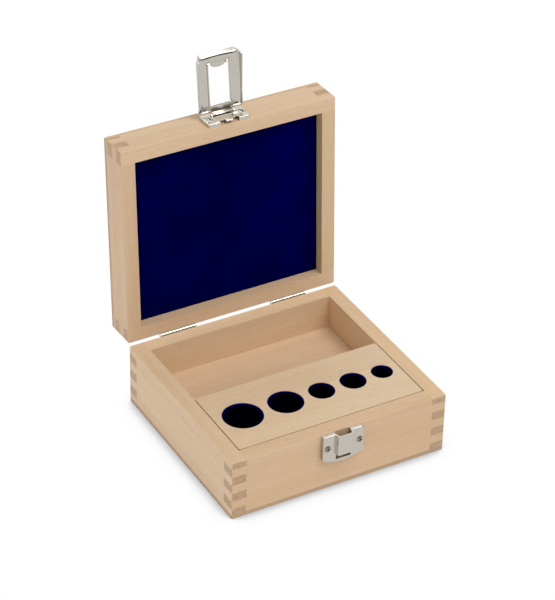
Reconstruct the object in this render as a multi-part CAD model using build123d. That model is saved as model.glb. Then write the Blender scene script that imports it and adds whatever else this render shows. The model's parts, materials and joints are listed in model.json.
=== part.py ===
"""Wooden gauge case with a hinged lid, five round pockets and a loop latch.

Axes: X along the front, Y to the back, Z up. The origin is the centre of the base's underside.
Each part is drawn with the lid shut and the loop hanging over its catch. What rides on the lid
is then turned up about the hinge pins, and the loop is turned up about its own pin as well.
"""
from build123d import *
from typing import NamedTuple
import os

os.makedirs("parts", exist_ok=True)

# ---- driving dimensions, mm and degrees ----
CASE_WIDTH = 150.0
CASE_DEPTH = 136.5
BASE_HEIGHT = 42.0
LID_HEIGHT = 22.8
BASE_WALL = 10.0
LID_WALL = 9.5
PANEL = 3.0
LID_OPEN_DEG = 93.0
LOOP_UP_DEG = 94.0

SEAT_GAP = 0.3          # the shut lid rides this far above the rim
CORNER_RADIUS = 1.2     # outer upright corners
EDGE_SOFTENING = 0.5    # outer top and bottom edges
FINGER = 6.0            # height of a finger of the corner joints
FINGER_PITCH = 2 * FINGER
BASE_FINGER_START = 7.5
BASE_FINGER_COUNT = 3
LID_FINGER_COUNT = 2

BLOCK_PLAY = 0.6        # all round the loose insert block
BLOCK_CORNER = 1.0
BLOCK_BACK_Y = -0.5
COMPARTMENT_FLOOR_Z = 18.6
FLOOR_PLAY = 0.15
POCKET_DIAMETERS = (26.0, 23.0, 17.0, 17.0, 14.0)    # of the bores, which the lining narrows
POCKET_DEPTHS = (32.0, 30.0, 26.0, 26.0, 22.0)
POCKET_GAP = 5.4
POCKET_Y = -28.8
NAP = 0.7               # thickness of the pocket lining
LIP_DROP = 0.15         # the lining ends this far below the block's face

VELVET_DEPTH = 6.0      # velvet face below the lid's mating face
VELVET = 1.2
LINING_PLAY = 0.2

HINGE_X = 40.0
HINGE_LENGTH = 25.0
HINGE_SETBACK = 1.0     # pin centre behind the rear face
KNUCKLE_RADIUS = 1.5
HINGE_PIN_RADIUS = 0.75
RUNNING_GAP = 0.05      # radial play of a turning joint
LEAF = 0.9
LEAF_REACH = 8.5        # from the pin's axis
KNUCKLE_SPLIT = 8.6     # length of the middle knuckle
KNUCKLE_GAP = 0.15
RECESS_PLAY = 0.1
LEAF_SCREW_SPREAD = 16.0
LEAF_SCREW_DROP = 5.3   # from the pin's axis

PLATE_SCREW = (2.4, 1.1, 9.5, 0.8)      # radius of head and shank, length, rise of the dome
LEAF_SCREW = (1.8, 0.9, 8.0, 0.25)
HOLE_PLAY = 0.02        # radial, between a screw and its hole
DRIVE_WIDTH = 0.3       # the cross recess, in shares of the head's radius and sink
DRIVE_SPAN = 1.3
DRIVE_DEPTH = 0.35

SHEET = 0.8             # thickness of the latch's pressed steel
PLATE_CORNER = 1.5
PLATE_EDGE = 0.5
LATCH_X = 0.5           # centre of the latch along the front

CATCH_WIDTH = 28.4
CATCH_RISE = 3.0        # face of the plate in front of the wood
CATCH_ASIDE = -0.3      # the catch sits this far aside from the lid's plate
CATCH_TOP_Z = 41.45
CATCH_SIDE_Z = 23.65    # the lower edge bows down from its ends to its middle
CATCH_BOTTOM_Z = 20.25
SLOT_BOTTOM_Z = 22.65
PAD_RISE = 6.2
PAD_BOTTOM_Z = 27.25
PAD_HALF_FOOT = 6.3
PAD_HALF_FACE = 5.2
PAD_ROUND = 1.0
CATCH_SCREW_X = 11.2
CATCH_SCREW_Z = 32.25

LATCH_WIDTH = 29.0
LATCH_RISE = 2.5
LATCH_BOTTOM_V = 0.6    # heights on the lid are counted from its mating face
LATCH_TOP_V = 14.2
LATCH_SCREW_X = 11.5
LATCH_SCREW_V = 6.6
LOOP_PIN_V = 11.0
LOOP_PIN_RISE = 2.3
LOOP_PIN_RADIUS = 0.7
BARREL_RADIUS = 1.6
SADDLE_HALF = 7.2       # half width of the plate's opening for the loop's barrel
SADDLE_BOTTOM_V = 8.6
NOTCH_TOP_V = 3.3       # two notches beside the plate's middle tab
TAB_HALF = 2.4
NOTCH_HALF = 6.6

LOOP_HALF = 15.4
LOOP_WINDOW_HALF = 7.25
LOOP_NEAR = 1.8         # distances along the loop are counted from its pin
LOOP_WINDOW_NEAR = 6.8
LOOP_WINDOW_FAR = 33.0
LOOP_FAR = 36.9
LOOP_SHEET_OUT = 1.8    # near face of the loop's sheet in front of the pin
LOOP_RIM_LEVEL = 12.0   # the outer rim deepens from here to its far end
LOOP_RIM_END = 2.5      # and rises back to the sheet over this length
LOOP_RIM_OUT = 0.6      # edge of the rim beside the pin
LOOP_RIM_FAR_OUT = -1.9
LOOP_WEB_OUT = 0.8
LOOP_CORNER = 5.0
LOOP_NEAR_CORNER = 1.2
NIB_HALF = 5.2
NIB_REACH = 2.6
NIB_ROUND = 2.3
LIP_BEND_RADIUS = 2.5
LIP_BEND_DEG = 45.0
LIP_LENGTH = 2.0

# ---- worked-out places ----
FRONT_Y = -CASE_DEPTH / 2
REAR_Y = CASE_DEPTH / 2
SIDE_X = CASE_WIDTH / 2
BASE_INNER_X = SIDE_X - BASE_WALL
BASE_INNER_Y = REAR_Y - BASE_WALL
SEAT_Z = BASE_HEIGHT + SEAT_GAP
LID_TOP_Z = SEAT_Z + LID_HEIGHT
HINGE_Y = REAR_Y + HINGE_SETBACK
HINGE_Z = BASE_HEIGHT + SEAT_GAP / 2
LEAF_FRONT_Y = HINGE_Y - KNUCKLE_RADIUS     # let into the rear face
LOOP_PIN_Y = FRONT_Y - LOOP_PIN_RISE
LOOP_PIN_Z = SEAT_Z + LOOP_PIN_V


def turn_about(y, z, degrees):
    """Turn about the line through (y, z) that runs along X."""
    return Pos(0, y, z) * Rot(degrees, 0, 0) * Pos(0, -y, -z)


LID_OPEN = turn_about(HINGE_Y, HINGE_Z, -LID_OPEN_DEG)
LOOP_UP = LID_OPEN * turn_about(LOOP_PIN_Y, LOOP_PIN_Z, -LOOP_UP_DEG)


# ---- small helpers ----
def block(xs, ys, zs):
    """A box between two limits on each axis."""
    size = [high - low for low, high in (xs, ys, zs)]
    middle = [(high + low) / 2 for low, high in (xs, ys, zs)]
    return Pos(*middle) * Box(*size)


def rod(radius, x_from, x_to, y, z):
    """A round bar along X."""
    return Pos((x_from + x_to) / 2, y, z) * Rot(0, 90, 0) * Cylinder(radius, x_to - x_from)


def save(shape, node):
    """Write one node's solids to its file."""
    solids = shape if isinstance(shape, (list, tuple)) else [shape]
    export_step(Compound(children=[s for part in solids for s in part.solids()]), f"parts/{node}.step")


def save_lid(shape, node):
    """Write a node that rides on the lid, turned to the open lid."""
    solids = shape if isinstance(shape, (list, tuple)) else [shape]
    save([LID_OPEN * part for part in solids], node)


# ---- screws ----
def screw(size, play=0.0):
    """A countersunk screw along -Z whose head's rim is at Z = 0.

    With play it is the hole for that screw, without a dome or a drive recess.
    """
    head_radius, shank_radius, length, dome = size
    head = head_radius + play
    shank = shank_radius + play
    sink = head_radius - shank_radius
    profile = [(0, 0), (head, 0), (shank, -sink), (shank, -length), (0, -length)]
    body = revolve(Plane.XZ * make_face(Polyline(*profile, close=True)), Axis.Z)
    if play:
        return body
    ball_radius = (head_radius ** 2 + dome ** 2) / (2 * dome)
    cap = Pos(0, 0, dome - ball_radius) * Sphere(ball_radius)
    body += cap & block((-head, head), (-head, head), (0, dome))
    drive = Box(head_radius * DRIVE_SPAN, head_radius * DRIVE_WIDTH, 2 * (dome + sink * DRIVE_DEPTH))
    for angle in (0, 90):
        body -= Rot(0, 0, angle) * Pos(0, 0, dome) * drive
    return body


def front_places(spread, rise, z):
    """Two screw places on a plate on the front face, each aimed into the wood."""
    return [Pos(LATCH_X + side * spread, FRONT_Y - rise, z) * Rot(90, 0, 0) for side in (-1, 1)]


def leaf_places(hinge_x, up):
    """Two screw places in a hinge leaf; up is -1 in the base and 1 in the lid."""
    z = HINGE_Z + up * LEAF_SCREW_DROP
    xs = [hinge_x + side * LEAF_SCREW_SPREAD / 2 for side in (-1, 1)]
    return [Pos(x, LEAF_FRONT_Y + LEAF, z) * Rot(-90, 0, 0) for x in xs]


ASIDE = Pos(CATCH_ASIDE, 0, 0)
CATCH_SCREW_PLACES = [ASIDE * place for place in front_places(CATCH_SCREW_X, CATCH_RISE, CATCH_SCREW_Z)]
LATCH_SCREW_PLACES = front_places(LATCH_SCREW_X, LATCH_RISE, SEAT_Z + LATCH_SCREW_V)
BASE_LEAF_PLACES = leaf_places(-HINGE_X, -1) + leaf_places(HINGE_X, -1)
LID_LEAF_PLACES = leaf_places(-HINGE_X, 1) + leaf_places(HINGE_X, 1)


# ---- wooden walls ----
def envelope(z_low, z_high):
    """The outside of the base or the lid, with softened corners and edges."""
    outline = RectangleRounded(CASE_WIDTH, CASE_DEPTH, CORNER_RADIUS)
    body = Pos(0, 0, z_low) * extrude(outline, z_high - z_low)
    rims = body.faces().sort_by(Axis.Z)
    return fillet(rims[0].edges() + rims[-1].edges(), EDGE_SOFTENING)


def finger_bands(start, count):
    """The heights taken by the front and rear walls' fingers."""
    return [(start + FINGER_PITCH * i, start + FINGER_PITCH * i + FINGER) for i in range(count)]


class Frame(NamedTuple):
    """The four walls of the base or the lid."""

    outside_zs: tuple       # with the panel that closes the frame
    wall_zs: tuple
    wall: float             # thickness
    bands: list             # heights of the front and rear walls' fingers


BASE_FRAME = Frame((0, BASE_HEIGHT), (PANEL, BASE_HEIGHT), BASE_WALL,
                   finger_bands(BASE_FINGER_START, BASE_FINGER_COUNT))
LID_FRAME = Frame((SEAT_Z, LID_TOP_Z), (SEAT_Z, LID_TOP_Z - PANEL), LID_WALL,
                  finger_bands(SEAT_Z, LID_FINGER_COUNT))


def long_wall(frame, side):
    """The front wall (side -1) or the rear wall (side 1), with its fingers."""
    ys = sorted((side * (REAR_Y - frame.wall), side * REAR_Y))
    inner_x = SIDE_X - frame.wall
    wall = block((-inner_x, inner_x), ys, frame.wall_zs)
    for band in frame.bands:
        wall += block((-SIDE_X, SIDE_X), ys, band)
    return wall & envelope(*frame.outside_zs)


def short_wall(frame, side):
    """The left wall (side -1) or the right wall (side 1), notched for the long walls."""
    xs = sorted((side * (SIDE_X - frame.wall), side * SIDE_X))
    inner_y = REAR_Y - frame.wall
    wall = block(xs, (FRONT_Y, REAR_Y), frame.wall_zs)
    for band in frame.bands:
        for ys in ((FRONT_Y, -inner_y), (inner_y, REAR_Y)):
            wall -= block(xs, ys, band)
    return wall & envelope(*frame.outside_zs)


def hinge_recess(hinge_x):
    """The shallow recess that both rear faces have for one hinge."""
    half = HINGE_LENGTH / 2 + RECESS_PLAY
    reach = LEAF_REACH + RECESS_PLAY
    ys = (LEAF_FRONT_Y - RECESS_PLAY / 2, HINGE_Y)
    return block((hinge_x - half, hinge_x + half), ys, (HINGE_Z - reach, HINGE_Z + reach))


def drilled(wall, places, hole):
    """A wall with a hole at each place."""
    for place in places:
        wall -= place * hole
    return wall


def rear_wall(frame, places):
    """A rear wall with its hinge recesses and screw holes."""
    wall = long_wall(frame, 1)
    for hinge_x in (-HINGE_X, HINGE_X):
        wall -= hinge_recess(hinge_x)
    return drilled(wall, places, screw(LEAF_SCREW, HOLE_PLAY))


PLATE_SCREW_HOLE = screw(PLATE_SCREW, HOLE_PLAY)
save(drilled(long_wall(BASE_FRAME, -1), CATCH_SCREW_PLACES, PLATE_SCREW_HOLE), "base_front_wall")
save(rear_wall(BASE_FRAME, BASE_LEAF_PLACES), "base_rear_wall")
save_lid(drilled(long_wall(LID_FRAME, -1), LATCH_SCREW_PLACES, PLATE_SCREW_HOLE), "lid_front_wall")
save_lid(rear_wall(LID_FRAME, LID_LEAF_PLACES), "lid_rear_wall")
for wall_side, side_name in ((-1, "left"), (1, "right")):
    save(short_wall(BASE_FRAME, wall_side), f"base_{side_name}_wall")
    save_lid(short_wall(LID_FRAME, wall_side), f"lid_{side_name}_wall")


# ---- panels, floor and insert block ----
def panel(frame, zs):
    """A thin panel of the case's full size."""
    return envelope(*frame.outside_zs) & block((-CASE_WIDTH, CASE_WIDTH), (-CASE_DEPTH, CASE_DEPTH), zs)


def compartment_floor():
    """The thick board under the rear compartment."""
    half = BASE_INNER_X - FLOOR_PLAY
    ys = (BLOCK_BACK_Y + FLOOR_PLAY, BASE_INNER_Y - FLOOR_PLAY)
    return block((-half, half), ys, (PANEL, COMPARTMENT_FLOOR_Z))


def pocket_places():
    """The centre of each pocket along X, evenly spaced wall to wall about the middle."""
    span = sum(POCKET_DIAMETERS) + POCKET_GAP * (len(POCKET_DIAMETERS) - 1)
    left = -span / 2
    places = []
    for diameter in POCKET_DIAMETERS:
        places.append(left + diameter / 2)
        left += diameter + POCKET_GAP
    return places


def bore(x, radius, top, depth):
    """A flat-ended plug of a pocket's shape, from its top downwards."""
    return Pos(x, POCKET_Y, top - depth / 2) * Cylinder(radius, depth)


def insert_block():
    """The block in the front half of the base, bored for the pockets."""
    half = BASE_INNER_X - BLOCK_PLAY
    ys = (-BASE_INNER_Y + BLOCK_PLAY, BLOCK_BACK_Y)
    body = block((-half, half), ys, (PANEL, BASE_HEIGHT))
    body = fillet(body.edges().filter_by(Axis.Z), BLOCK_CORNER)
    for x, diameter, depth in zip(pocket_places(), POCKET_DIAMETERS, POCKET_DEPTHS):
        body -= bore(x, diameter / 2, BASE_HEIGHT, depth + NAP)
    return body


def pocket_lining(x, diameter, depth):
    """A fabric cup that lines one pocket."""
    outer = bore(x, diameter / 2, BASE_HEIGHT - LIP_DROP, depth + NAP - LIP_DROP)
    return outer - bore(x, diameter / 2 - NAP, BASE_HEIGHT, depth)


save(panel(BASE_FRAME, (0, PANEL)), "base_bottom_panel")
save_lid(panel(LID_FRAME, (LID_TOP_Z - PANEL, LID_TOP_Z)), "lid_top_panel")
save(compartment_floor(), "compartment_floor")
save(insert_block(), "insert_block")
for number, pocket in enumerate(zip(pocket_places(), POCKET_DIAMETERS, POCKET_DEPTHS), start=1):
    save(pocket_lining(*pocket), f"pocket_lining_{number}")


# ---- lining of the lid ----
def lid_filling(z_low, z_high):
    """A slab that fills the lid's recess between two heights."""
    half_x = SIDE_X - LID_WALL - LINING_PLAY
    half_y = REAR_Y - LID_WALL - LINING_PLAY
    return block((-half_x, half_x), (-half_y, half_y), (z_low, z_high))


VELVET_Z = SEAT_Z + VELVET_DEPTH
save_lid(lid_filling(VELVET_Z + VELVET, LID_TOP_Z - PANEL), "lid_foam_pad")
save_lid(lid_filling(VELVET_Z, VELVET_Z + VELVET), "lid_velvet")


# ---- hinges ----
def outer_knuckles(hinge_x):
    """Limits along X of the two knuckles of the base's leaf."""
    half = HINGE_LENGTH / 2
    inner = KNUCKLE_SPLIT / 2 + KNUCKLE_GAP
    return [(hinge_x - half, hinge_x - inner), (hinge_x + inner, hinge_x + half)]


def middle_knuckle(hinge_x):
    """Limits along X of the knuckle of the lid's leaf."""
    return [(hinge_x - KNUCKLE_SPLIT / 2, hinge_x + KNUCKLE_SPLIT / 2)]


def hinge_leaf(hinge_x, up, spans, pin_play):
    """An upright leaf with its knuckles. up is -1 for the base's leaf and 1 for the lid's."""
    half = HINGE_LENGTH / 2
    ys = (LEAF_FRONT_Y, LEAF_FRONT_Y + LEAF)
    clear_of_knuckles = HINGE_Z + up * (KNUCKLE_RADIUS + KNUCKLE_GAP)
    plate_zs = sorted((clear_of_knuckles, HINGE_Z + up * LEAF_REACH))
    leaf = block((hinge_x - half, hinge_x + half), ys, plate_zs)
    for span in spans:
        leaf += block(span, ys, sorted((clear_of_knuckles, HINGE_Z)))
        leaf += rod(KNUCKLE_RADIUS, *span, HINGE_Y, HINGE_Z)
    leaf -= rod(HINGE_PIN_RADIUS + pin_play, hinge_x - half, hinge_x + half, HINGE_Y, HINGE_Z)
    return drilled(leaf, leaf_places(hinge_x, up), screw(LEAF_SCREW, HOLE_PLAY))


for hinge_x, side_name in ((-HINGE_X, "left"), (HINGE_X, "right")):
    save(hinge_leaf(hinge_x, -1, outer_knuckles(hinge_x), 0), f"hinge_{side_name}_base_leaf")
    save_lid(hinge_leaf(hinge_x, 1, middle_knuckle(hinge_x), RUNNING_GAP), f"hinge_{side_name}_lid_leaf")
    save(rod(HINGE_PIN_RADIUS, hinge_x - HINGE_LENGTH / 2, hinge_x + HINGE_LENGTH / 2, HINGE_Y, HINGE_Z),
         f"hinge_{side_name}_pin")
save([place * screw(LEAF_SCREW) for place in BASE_LEAF_PLACES], "hinge_base_screws")
save_lid([place * screw(LEAF_SCREW) for place in LID_LEAF_PLACES], "hinge_lid_screws")


# ---- latch ----
def front_block(xs, rises, zs):
    """A box on the front face: rises are distances in front of the wood."""
    ys = (FRONT_Y - rises[1], FRONT_Y - rises[0])
    return block([LATCH_X + x for x in xs], ys, zs)


def front_slab(outline, depth):
    """An outline, drawn by X and height, as a slab that stands this far out of the front face."""
    front = Plane(origin=(LATCH_X, FRONT_Y, 0), x_dir=(1, 0, 0), z_dir=(0, -1, 0))
    return extrude(front * outline, depth)


def pressed_tray(outline, rise):
    """A shallow pressed plate of the given outline, open towards the wood."""
    rounded = fillet(outline.vertices(), PLATE_CORNER)
    outer = front_slab(rounded, rise)
    outer = fillet(outer.faces().sort_by(Axis.Y)[0].edges(), PLATE_EDGE)
    return outer - front_slab(offset(rounded, -SHEET), rise - SHEET)


def catch_outline():
    """The catch plate's outline: a square top and a lower edge that bows downwards."""
    half = CATCH_WIDTH / 2
    corners = [(half, CATCH_SIDE_Z), (half, CATCH_TOP_Z), (-half, CATCH_TOP_Z), (-half, CATCH_SIDE_Z)]
    bow = ThreePointArc(corners[-1], (0, CATCH_BOTTOM_Z), corners[0])
    return make_face(Polyline(*corners) + bow)


def pad_prism(inset, foot_rise, zs):
    """The catch pad's section, narrower towards its face, run along Z."""
    foot = PAD_HALF_FOOT - inset
    face = PAD_HALF_FACE - inset
    rise = PAD_RISE - inset
    points = [(-foot, -foot_rise), (-face, -rise), (face, -rise), (foot, -foot_rise)]
    section = make_face(Polyline(*points, close=True))
    crowns = section.vertices().sort_by(Axis.Y)[:2]
    section = fillet(crowns, PAD_ROUND - inset / 2)
    return Pos(LATCH_X, FRONT_Y, zs[0]) * extrude(section, zs[1] - zs[0])


def catch_plate():
    """The plate on the base: a tray with a raised pad that the loop closes over, and a slot under it."""
    plate = pressed_tray(catch_outline(), CATCH_RISE)
    plate += pad_prism(0, CATCH_RISE - SHEET, (PAD_BOTTOM_Z, CATCH_TOP_Z))
    plate -= pad_prism(SHEET, 0, (PAD_BOTTOM_Z - SHEET, CATCH_TOP_Z + SHEET))
    plate -= front_block((-PAD_HALF_FACE, PAD_HALF_FACE), (0, PAD_RISE), (SLOT_BOTTOM_Z, PAD_BOTTOM_Z))
    return drilled(ASIDE * plate, CATCH_SCREW_PLACES, PLATE_SCREW_HOLE)


def latch_plate():
    """The plate on the lid, with a saddle and two ears for the loop's barrel and a tab at its edge."""
    zs = (SEAT_Z + LATCH_BOTTOM_V, SEAT_Z + LATCH_TOP_V)
    outline = Pos(0, sum(zs) / 2) * Rectangle(LATCH_WIDTH, zs[1] - zs[0])
    plate = pressed_tray(outline, LATCH_RISE)
    saddle_z = SEAT_Z + SADDLE_BOTTOM_V
    ear = SADDLE_HALF + SHEET
    plate += front_block((-ear, ear), (0, LATCH_RISE), (saddle_z - SHEET, zs[1]))
    plate += rod(BARREL_RADIUS, LATCH_X - ear, LATCH_X + ear, LOOP_PIN_Y, LOOP_PIN_Z)
    plate -= front_block((-SADDLE_HALF, SADDLE_HALF), (-SHEET, 2 * LATCH_RISE), (saddle_z, zs[1] + SHEET))
    plate -= rod(LOOP_PIN_RADIUS, LATCH_X - ear, LATCH_X + ear, LOOP_PIN_Y, LOOP_PIN_Z)
    under_tab = (zs[0] - SHEET, zs[0] + SHEET)
    plate -= front_block((-NOTCH_HALF, NOTCH_HALF), (-SHEET, LATCH_RISE - SHEET), under_tab)
    notch_zs = (under_tab[0], SEAT_Z + NOTCH_TOP_V)
    for xs in ((-NOTCH_HALF, -TAB_HALF), (TAB_HALF, NOTCH_HALF)):
        plate -= front_block(xs, (-SHEET, LATCH_RISE + SHEET), notch_zs)
    return drilled(plate, LATCH_SCREW_PLACES, PLATE_SCREW_HOLE)


def loop_block(xs, reaches, outs):
    """A box of the loop: reaches run down from its pin, outs are in front of the pin."""
    ys = (LOOP_PIN_Y - outs[1], LOOP_PIN_Y - outs[0])
    return block([LATCH_X + x for x in xs], ys, (LOOP_PIN_Z - reaches[1], LOOP_PIN_Z - reaches[0]))


def loop_outline(inset, reaches, outs):
    """The loop's rounded outline as a slab, drawn in by inset."""
    half = LOOP_HALF - inset
    slab = loop_block((-half, half), reaches, outs)
    uprights = slab.edges().filter_by(Axis.Y).sort_by(Axis.Z)
    slab = fillet(uprights[:2], LOOP_CORNER - inset)
    near = slab.edges().filter_by(Axis.Y).sort_by(Axis.Z)[-2:]
    return fillet(near, LOOP_NEAR_CORNER - inset / 2)


def loop_strip(section):
    """A section of the loop, drawn by reach and out, run across its full width."""
    side = Plane(origin=(LATCH_X + LOOP_HALF, LOOP_PIN_Y, LOOP_PIN_Z), x_dir=(0, 0, -1), z_dir=(-1, 0, 0))
    return extrude(side * section, 2 * LOOP_HALF)


def loop_skin():
    """The loop's sheet with its finger lip, still one full-width strip, and how far the lip reaches."""
    middle = LOOP_SHEET_OUT + SHEET / 2
    straight = Line((LOOP_NEAR, middle), (LOOP_FAR, middle))
    bend = JernArc(straight @ 1, straight % 1, LIP_BEND_RADIUS, LIP_BEND_DEG)
    lip = Line(bend @ 1, bend @ 1 + LIP_LENGTH * (bend % 1))
    return loop_strip(trace(straight + bend + lip, SHEET)), (lip @ 1).X


def loop_rims(lip_reach):
    """The turned-in rims round the loop, which deepen towards the lip."""
    outs = (LOOP_RIM_FAR_OUT, LOOP_SHEET_OUT)
    rims = loop_outline(0, (LOOP_NEAR, lip_reach), outs)
    rims -= loop_outline(SHEET, (LOOP_NEAR + SHEET, lip_reach + SHEET), outs)
    edge = [(LOOP_NEAR, LOOP_SHEET_OUT), (LOOP_NEAR, LOOP_RIM_OUT), (LOOP_RIM_LEVEL, LOOP_RIM_OUT),
            (LOOP_FAR - LOOP_RIM_END, LOOP_RIM_FAR_OUT), (LOOP_FAR, LOOP_SHEET_OUT)]
    return rims & loop_strip(make_face(Polyline(*edge, close=True)))


def latch_loop():
    """The swinging loop: pressed sheet with a window, rims, web, barrel and finger lip."""
    skin, lip_reach = loop_skin()
    deep = (0, LIP_BEND_RADIUS + LIP_LENGTH + LOOP_SHEET_OUT + SHEET)
    sheet = (skin & loop_outline(0, (LOOP_NEAR, lip_reach), deep)) + loop_rims(lip_reach)
    half = LOOP_WINDOW_HALF
    edge = half + SHEET
    sheet_face = LOOP_SHEET_OUT + SHEET
    sheet += loop_block((-edge, edge), (LOOP_NEAR, LOOP_WINDOW_FAR + SHEET), (LOOP_WEB_OUT, sheet_face))
    sheet -= loop_block((-half, half), (0, LOOP_WINDOW_FAR), (0, 2 * sheet_face))
    nib = loop_block((-NIB_HALF, NIB_HALF), (LOOP_WINDOW_FAR - NIB_REACH, LOOP_WINDOW_FAR + SHEET),
                     (LOOP_SHEET_OUT, sheet_face))
    nib = fillet(nib.edges().filter_by(Axis.Y).sort_by(Axis.Z)[-2:], NIB_ROUND)
    web_outs = (LOOP_WEB_OUT, LOOP_WEB_OUT + SHEET)
    neck_half = SADDLE_HALF - 2 * KNUCKLE_GAP
    web = loop_block((-edge, edge), (LOOP_NEAR, LOOP_WINDOW_NEAR), web_outs)
    web += loop_block((-neck_half, neck_half), (0, LOOP_NEAR), web_outs)
    web += rod(BARREL_RADIUS, LATCH_X - neck_half, LATCH_X + neck_half, LOOP_PIN_Y, LOOP_PIN_Z)
    loop = sheet + nib + web
    loop -= rod(LOOP_PIN_RADIUS + RUNNING_GAP, LATCH_X - half, LATCH_X + half, LOOP_PIN_Y, LOOP_PIN_Z)
    return loop


save(catch_plate(), "catch_plate")
save([place * screw(PLATE_SCREW) for place in CATCH_SCREW_PLACES], "catch_screws")
save_lid(latch_plate(), "latch_plate")
save_lid([place * screw(PLATE_SCREW) for place in LATCH_SCREW_PLACES], "latch_plate_screws")
pin_half = SADDLE_HALF + SHEET
save_lid(rod(LOOP_PIN_RADIUS, LATCH_X - pin_half, LATCH_X + pin_half, LOOP_PIN_Y, LOOP_PIN_Z), "loop_pin")
save(LOOP_UP * latch_loop(), "latch_loop")
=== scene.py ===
"""Looks of a wooden gauge case: beech boxwork, navy velvet linings and a nickel-plated loop latch."""
import sys
import json
import logging
import math
from dataclasses import dataclass
from enum import Enum
from typing import Any

import bpy
import numpy as np
from mathutils import Matrix, Vector


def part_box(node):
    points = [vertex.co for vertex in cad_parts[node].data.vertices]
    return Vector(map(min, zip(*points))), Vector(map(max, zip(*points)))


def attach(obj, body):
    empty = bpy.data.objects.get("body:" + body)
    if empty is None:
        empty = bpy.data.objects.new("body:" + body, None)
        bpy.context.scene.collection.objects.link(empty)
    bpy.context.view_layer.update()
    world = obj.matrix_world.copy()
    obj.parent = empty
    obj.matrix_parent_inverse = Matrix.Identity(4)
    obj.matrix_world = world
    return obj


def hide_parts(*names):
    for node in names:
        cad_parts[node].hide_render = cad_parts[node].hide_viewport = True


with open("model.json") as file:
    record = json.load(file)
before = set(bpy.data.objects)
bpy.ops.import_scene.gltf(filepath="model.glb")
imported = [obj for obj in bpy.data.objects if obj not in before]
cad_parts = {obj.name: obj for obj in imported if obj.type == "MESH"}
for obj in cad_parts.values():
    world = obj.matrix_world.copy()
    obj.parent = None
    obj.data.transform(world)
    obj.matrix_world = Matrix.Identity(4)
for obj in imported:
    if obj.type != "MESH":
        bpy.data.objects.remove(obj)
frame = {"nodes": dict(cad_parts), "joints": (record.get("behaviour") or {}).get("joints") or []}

LOG = logging.getLogger("gauge_case")
MM = 0.001
Array = np.ndarray


# ---------------------------------------------------------------- colour and nodes


def linear(code: str) -> tuple[float, float, float, float]:
    """Turn an sRGB hex colour into the linear colour that shaders take.

    Args:
        code: six hex digits, with or without a leading hash.

    Returns:
        Red, green, blue and an alpha of 1.
    """
    digits = code.lstrip("#")
    parts = np.array([int(digits[i:i + 2], 16) for i in (0, 2, 4)]) / 255.0
    low = parts / 12.92
    high = ((parts + 0.055) / 1.055) ** 2.4
    red, green, blue = np.where(parts <= 0.04045, low, high)
    return float(red), float(green), float(blue), 1.0


def add_node(tree: bpy.types.NodeTree, kind: str, settings: dict[str, Any] | None = None,
             links: dict[Any, Any] | None = None) -> bpy.types.Node:
    """Add one node, set it up and link its inputs.

    Args:
        tree: the node tree that gets the node.
        kind: the node's type name.
        settings: attribute names, or input names or numbers, with their values.
        links: input names or numbers, with the output sockets that feed them.

    Returns:
        The new node.
    """
    node = tree.nodes.new(kind)
    for key, value in (settings or {}).items():
        if isinstance(key, str) and hasattr(node, key):
            setattr(node, key, value)
        else:
            node.inputs[key].default_value = value
    for key, socket in (links or {}).items():
        tree.links.new(socket, node.inputs[key])
    return node


def set_ramp(node: bpy.types.Node, stops: list[tuple[float, tuple[float, float, float, float]]]) -> None:
    """Give a colour ramp its stops.

    Args:
        node: the ramp node.
        stops: positions from 0 to 1 with their linear colours.
    """
    elements = node.color_ramp.elements
    while len(elements) < len(stops):
        elements.new(0.5)
    for element, (position, colour) in zip(elements, stops):
        element.position = position
        element.color = colour


def grey(level: float) -> tuple[float, float, float, float]:
    """A linear grey of that level."""
    return level, level, level, 1.0


def start_material(name: str) -> tuple[bpy.types.Material, bpy.types.NodeTree, bpy.types.Node]:
    """Make a node material that holds one Principled shader.

    Args:
        name: the material's name.

    Returns:
        The material, its node tree and its Principled shader.
    """
    material = bpy.data.materials.new(name)
    material.use_nodes = True
    tree = material.node_tree
    tree.nodes.clear()
    shader = add_node(tree, "ShaderNodeBsdfPrincipled")
    add_node(tree, "ShaderNodeOutputMaterial", links={"Surface": shader.outputs["BSDF"]})
    return material, tree, shader


# ---------------------------------------------------------------- finishes


class Grain(Enum):
    """The way that a board's grain runs, as the turn that brings it onto X."""

    ALONG_X = 0.0
    ALONG_Y = -90.0


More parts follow.
